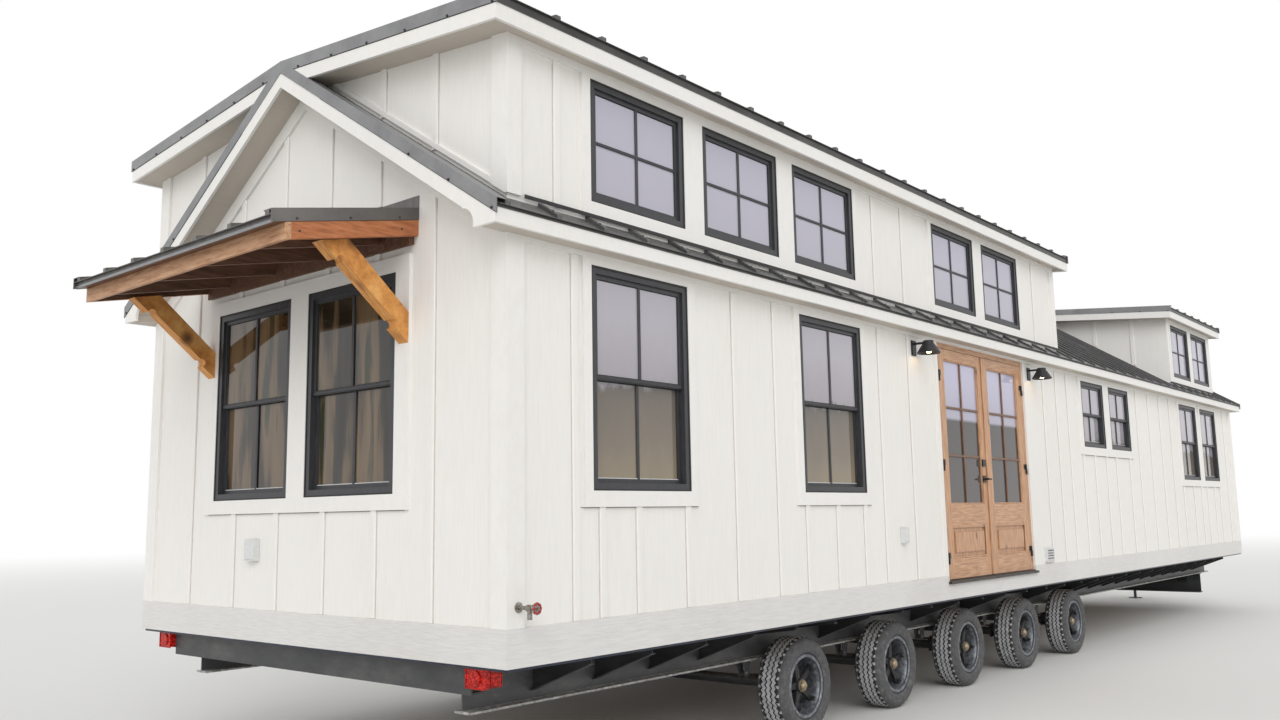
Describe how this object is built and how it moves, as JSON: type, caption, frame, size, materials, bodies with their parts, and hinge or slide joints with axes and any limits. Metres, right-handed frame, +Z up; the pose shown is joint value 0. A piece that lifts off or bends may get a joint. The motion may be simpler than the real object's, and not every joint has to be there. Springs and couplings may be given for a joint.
{
  "type": "tiny house on wheels",
  "caption": "Long board-and-batten house on a steel trailer frame, with dormers, a double door that opens, an awning over the tail windows and wheels that turn.",
  "frame": {"origin": "on the ground, at the middle of the overall box", "axes": "+X along the house to the hitch, -Y out of the door wall, +Z up"},
  "size_m": [18.35, 4.31, 4.6009],
  "materials": {
    "frame_steel": "satin black paint",
    "jack_steel": "satin dark paint",
    "red_lens": "clear red lens",
    "floor_wood": "plain boards",
    "white_wood": "white paint on textured boards",
    "dark_metal": "ribbed sheet, dark grey paint",
    "grey_metal": "folded sheet, grey paint",
    "window_frame": "charcoal frame",
    "pane": "clear pane",
    "stained_timber": "stained softwood",
    "door_wood": "clear-coated wood",
    "black_metal": "satin black",
    "box_plastic": "pale grey plastic",
    "tap_metal": "dull brass",
    "tyre": "black rubber"
  },
  "bodies": {
    "house": {"main_beams": "frame_steel", "cross_members": "frame_steel", "outriggers": "frame_steel", "tail_channel": "frame_steel", "drawbar": "frame_steel", "tongue_jack": "jack_steel", "axles": "frame_steel", "springs": "frame_steel", "tail_lights": "red_lens", "floor_deck": "floor_wood", "skirt_boards": "white_wood", "door_wall_tail": "white_wood", "door_wall_hitch": "white_wood", "door_wall_header": "white_wood", "back_wall": "white_wood", "tail_wall": "white_wood", "hitch_wall": "white_wood", "dormer_walls": "white_wood", "loft_floors": "floor_wood", "roof_front": "white_wood", "roof_back": "white_wood", "dormer_roofs": "white_wood", "lower_roofing": "dark_metal", "upper_roofing": "dark_metal", "fascias": "white_wood", "metal_trim": "grey_metal", "wall_trim": "white_wood", "window_frames": "window_frame", "window_glass": "pane", "awning_frame": "stained_timber", "awning_braces": "stained_timber", "awning_roof": "dark_metal", "door_frame": "door_wood", "door_sill": "black_metal", "door_hinges": "black_metal", "wall_lamps": "black_metal", "service_boxes": "box_plastic", "hose_tap": "tap_metal"},
    "left_door": {"left_leaf": "door_wood", "left_leaf_glass": "pane", "left_leaf_hardware": "black_metal"},
    "right_door": {"right_leaf": "door_wood", "right_leaf_glass": "pane", "right_leaf_hardware": "black_metal"},
    "wheel_near_1": {"wheel_near_1": "tyre"},
    "wheel_near_2": {"wheel_near_2": "tyre"},
    "wheel_near_3": {"wheel_near_3": "tyre"},
    "wheel_near_4": {"wheel_near_4": "tyre"},
    "wheel_near_5": {"wheel_near_5": "tyre"},
    "wheel_far_1": {"wheel_far_1": "tyre"},
    "wheel_far_2": {"wheel_far_2": "tyre"},
    "wheel_far_3": {"wheel_far_3": "tyre"},
    "wheel_far_4": {"wheel_far_4": "tyre"},
    "wheel_far_5": {"wheel_far_5": "tyre"}
  },
  "joints": [
    {"name": "left_door_hinge", "type": "hinge", "parent": "house", "child": "left_door", "pos_m": [-3.0405, -1.924, 2.03], "axis": [0, 0, -1], "range_deg": [0, 110]},
    {"name": "right_door_hinge", "type": "hinge", "parent": "house", "child": "right_door", "pos_m": [-1.1545, -1.924, 2.03], "axis": [0, 0, 1], "range_deg": [0, 110]},
    {"name": "wheel_near_1_spin", "type": "hinge", "parent": "house", "child": "wheel_near_1", "pos_m": [-5.083, -1.605, 0.348], "axis": [0, 1, 0], "continuous": true},
    {"name": "wheel_near_2_spin", "type": "hinge", "parent": "house", "child": "wheel_near_2", "pos_m": [-3.68, -1.605, 0.348], "axis": [0, 1, 0], "continuous": true},
    {"name": "wheel_near_3_spin", "type": "hinge", "parent": "house", "child": "wheel_near_3", "pos_m": [-2.277, -1.605, 0.348], "axis": [0, 1, 0], "continuous": true},
    {"name": "wheel_near_4_spin", "type": "hinge", "parent": "house", "child": "wheel_near_4", "pos_m": [-0.874, -1.605, 0.348], "axis": [0, 1, 0], "continuous": true},
    {"name": "wheel_near_5_spin", "type": "hinge", "parent": "house", "child": "wheel_near_5", "pos_m": [0.529, -1.605, 0.348], "axis": [0, 1, 0], "continuous": true},
    {"name": "wheel_far_1_spin", "type": "hinge", "parent": "house", "child": "wheel_far_1", "pos_m": [-5.083, 1.695, 0.348], "axis": [0, 1, 0], "continuous": true},
    {"name": "wheel_far_2_spin", "type": "hinge", "parent": "house", "child": "wheel_far_2", "pos_m": [-3.68, 1.695, 0.348], "axis": [0, 1, 0], "continuous": true},
    {"name": "wheel_far_3_spin", "type": "hinge", "parent": "house", "child": "wheel_far_3", "pos_m": [-2.277, 1.695, 0.348], "axis": [0, 1, 0], "continuous": true},
    {"name": "wheel_far_4_spin", "type": "hinge", "parent": "house", "child": "wheel_far_4", "pos_m": [-0.874, 1.695, 0.348], "axis": [0, 1, 0], "continuous": true},
    {"name": "wheel_far_5_spin", "type": "hinge", "parent": "house", "child": "wheel_far_5", "pos_m": [0.529, 1.695, 0.348], "axis": [0, 1, 0], "continuous": true}
  ]
}
